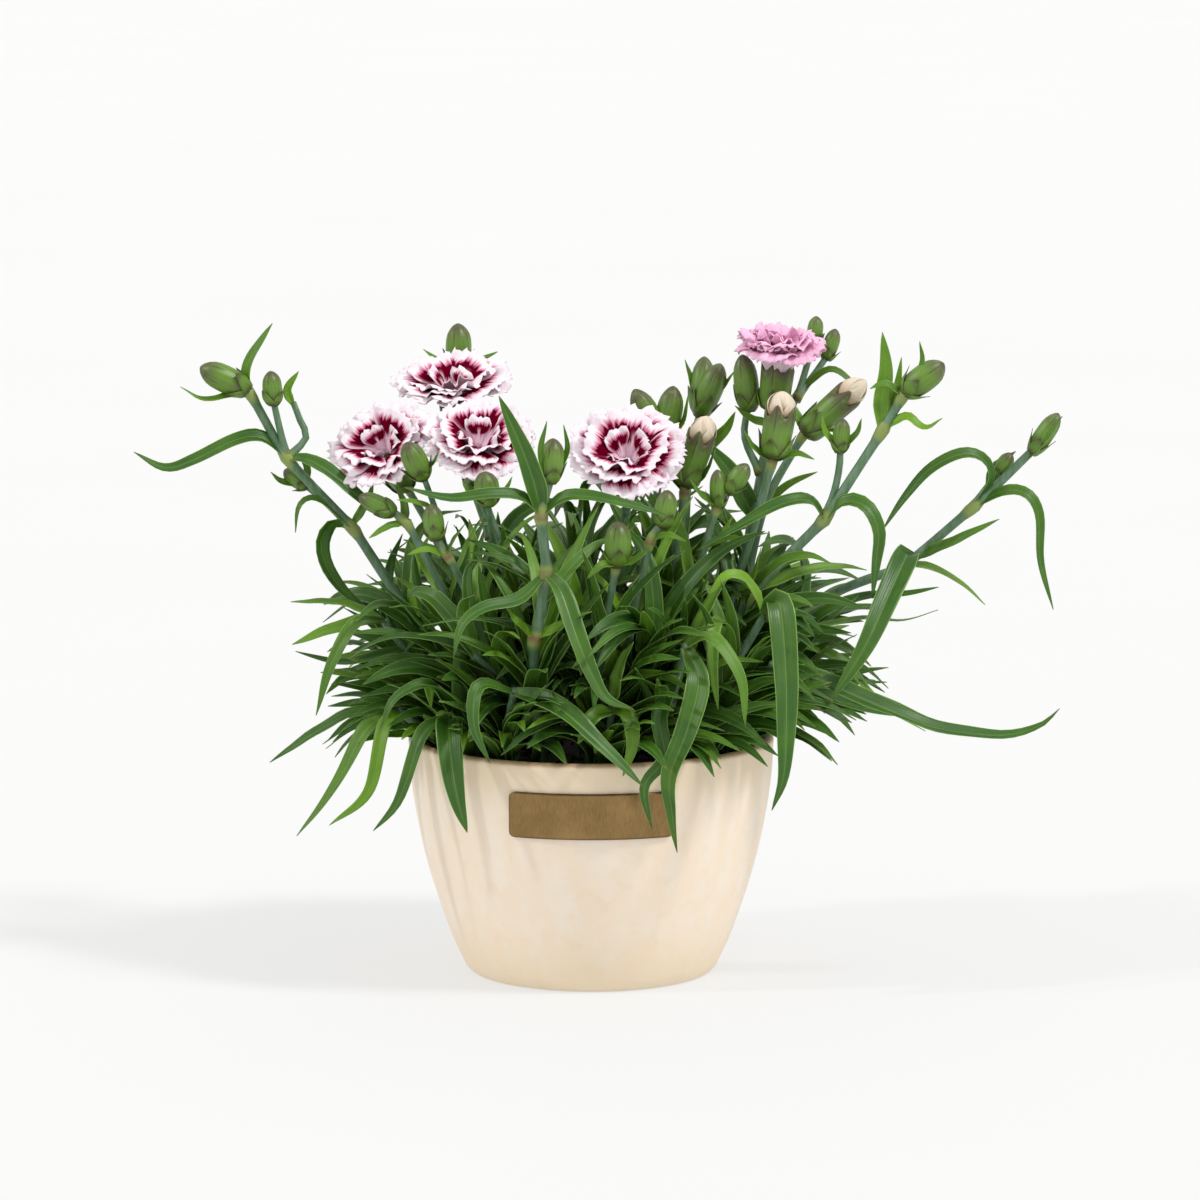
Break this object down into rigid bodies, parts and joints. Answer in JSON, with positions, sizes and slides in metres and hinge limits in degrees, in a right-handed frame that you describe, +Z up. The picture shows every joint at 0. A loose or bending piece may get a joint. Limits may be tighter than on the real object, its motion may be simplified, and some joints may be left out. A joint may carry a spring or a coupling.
{
  "type": "potted dianthus",
  "caption": "Dianthus plant in flower in a round tapered cream pot with a bent brass plate: arching stems, opposite strap leaves, fringed blooms and closed buds.",
  "frame": {"origin": "centre of the pot's flat underside, on the pot's axis", "axes": "+Z up along the pot's axis; -Y towards the front, the side that carries the plate; +X to the right of someone who looks at the plate"},
  "size_m": [0.358, 0.1821, 0.255],
  "materials": {
    "pot": "matte",
    "nameplate": "satin",
    "soil": "matte",
    "foliage": "satin",
    "petal_white": "matte",
    "petal_pink": "matte",
    "petal_ivory": "matte"
  },
  "bodies": {
    "root": {"bloom_pink": "petal_pink", "bloom_white_back": "petal_white", "bloom_white_centre": "petal_white", "bloom_white_left": "petal_white", "bloom_white_middle": "petal_white", "bud_tip_left": "petal_ivory", "bud_tip_middle": "petal_ivory", "bud_tip_right": "petal_ivory", "nameplate": "nameplate", "pot": "pot", "shoot_01": "foliage", "shoot_02": "foliage", "shoot_03": "foliage", "shoot_04": "foliage", "shoot_05": "foliage", "shoot_06": "foliage", "shoot_07": "foliage", "shoot_08": "foliage", "shoot_09": "foliage", "shoot_10": "foliage", "shoot_11": "foliage", "shoot_12": "foliage", "shoot_13": "foliage", "shoot_14": "foliage", "shoot_15": "foliage", "shoot_16": "foliage", "shoot_17": "foliage", "shoot_18": "foliage", "shoot_19": "foliage", "shoot_front": "foliage", "shoot_front_left": "foliage", "shoot_hanging_front": "foliage", "shoot_left": "foliage", "shoot_low_left": "foliage", "shoot_low_right": "foliage", "shoot_right": "foliage", "shoot_strap_left": "foliage", "shoot_strap_right": "foliage", "soil": "soil", "stem_arching_left": "foliage", "stem_arching_right": "foliage", "stem_bud_front": "foliage", "stem_bud_front_right": "foliage", "stem_bud_left": "foliage", "stem_bud_left_front": "foliage", "stem_bud_white_tip_left": "foliage", "stem_bud_white_tip_middle": "foliage", "stem_bud_white_tip_right": "foliage", "stem_buds_centre_back": "foliage", "stem_buds_right_back": "foliage", "stem_buds_right_front": "foliage", "stem_far_right": "foliage", "stem_front": "foliage", "stem_pink_bloom": "foliage", "stem_white_bloom_back": "foliage", "stem_white_bloom_centre": "foliage", "stem_white_bloom_left": "foliage", "stem_white_bloom_middle": "foliage"}
  },
  "joints": []
}
